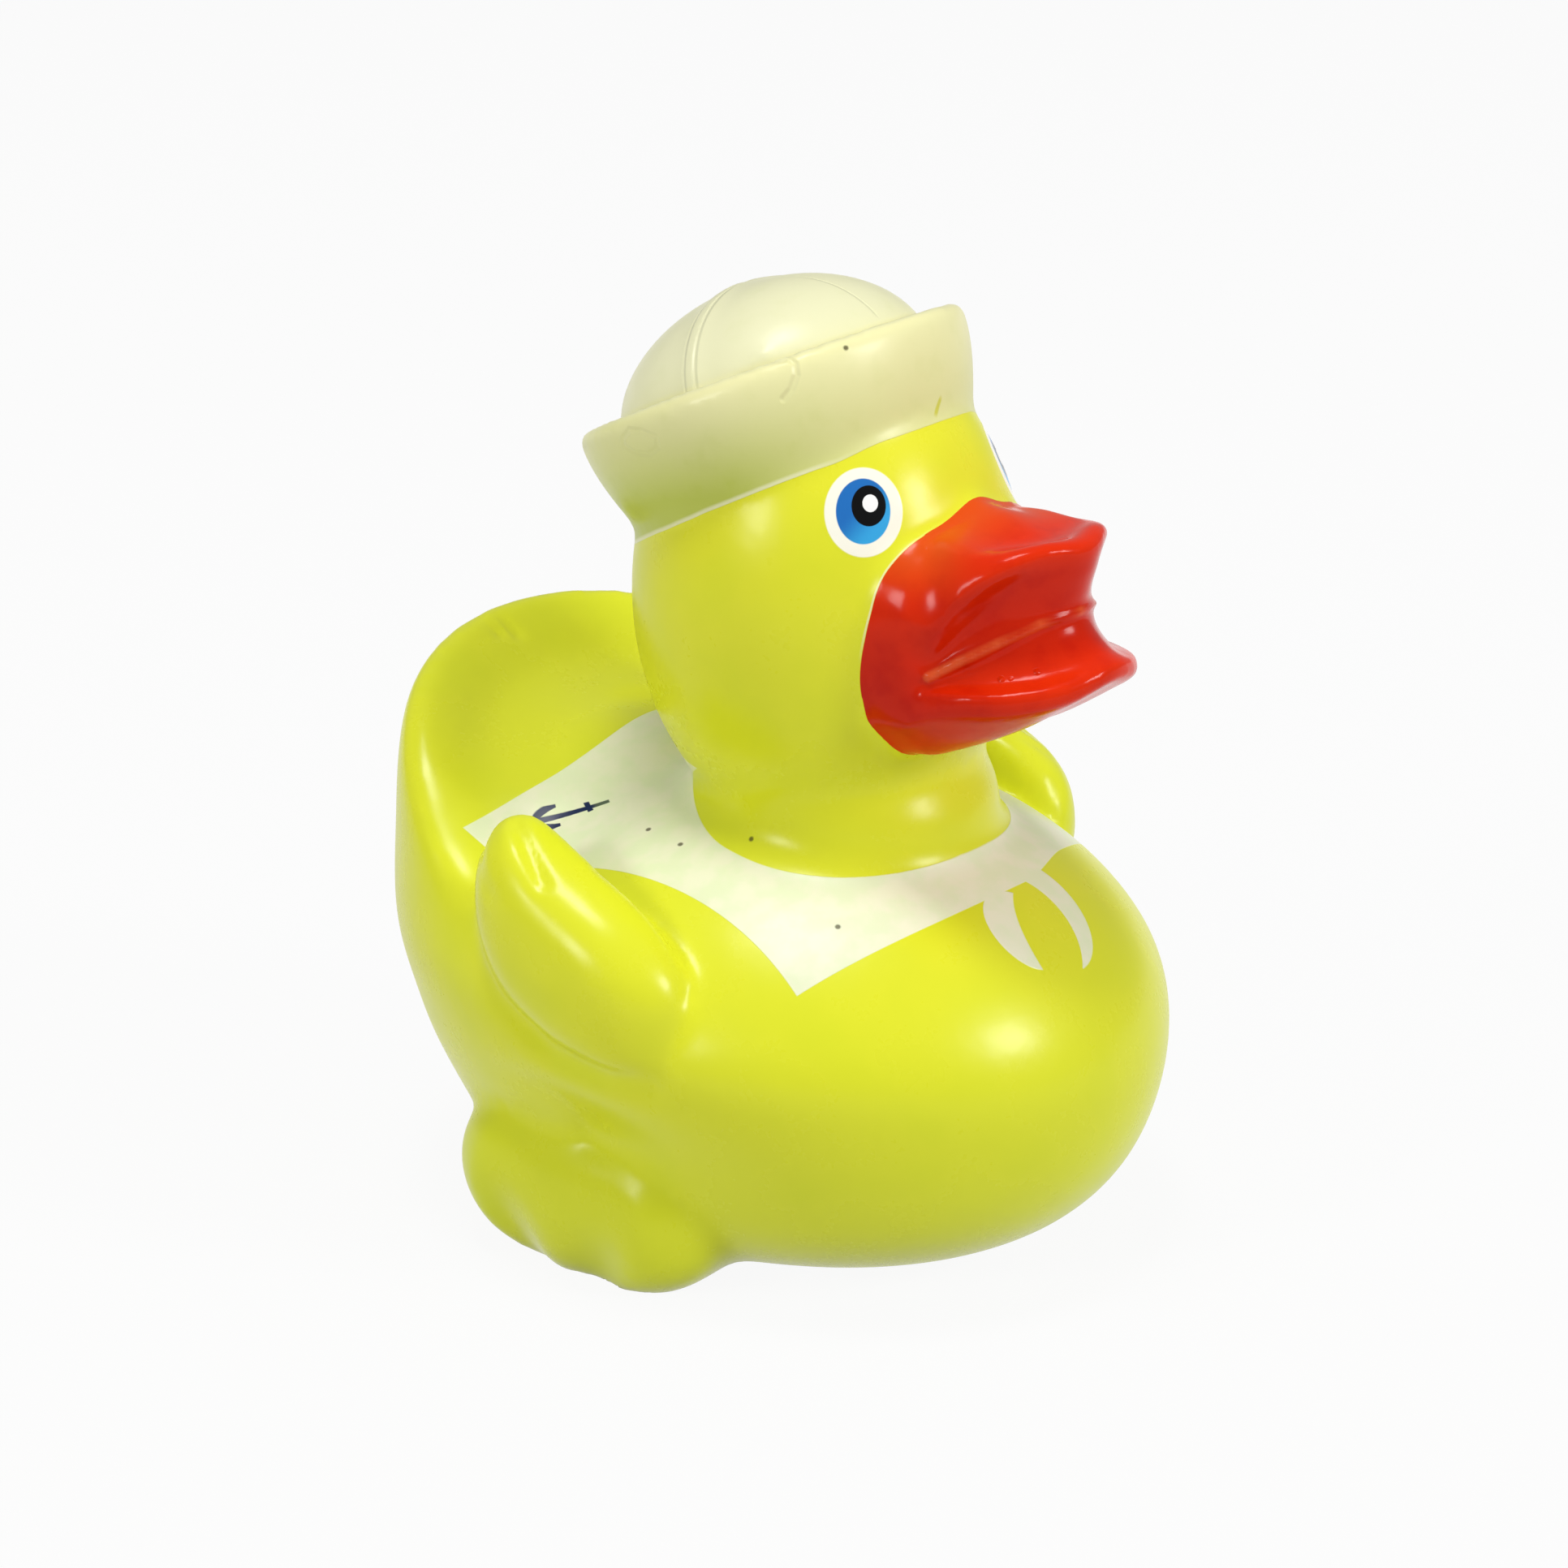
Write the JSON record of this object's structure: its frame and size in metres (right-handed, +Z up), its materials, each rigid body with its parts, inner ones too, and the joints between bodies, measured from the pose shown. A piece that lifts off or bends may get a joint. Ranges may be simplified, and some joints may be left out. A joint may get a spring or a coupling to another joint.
{
  "type": "toy duck",
  "caption": "Hollow vinyl bath duck with a round body, scooped tail, raised wings, webbed feet, open bill and a round sailor hat, standing on a small flat underside.",
  "frame": {"origin": "middle of the flat spot on the underside that the duck stands on", "axes": "+Z up, the duck faces -Y, +X is its left side"},
  "size_m": [0.0664, 0.0724, 0.0846],
  "materials": {
    "vinyl": "smooth semi-gloss vinyl, with a cream hat, red-orange bill, white and blue eyes and a cream neckerchief painted on"
  },
  "bodies": {
    "root": {"duck_body": "vinyl"}
  },
  "joints": []
}
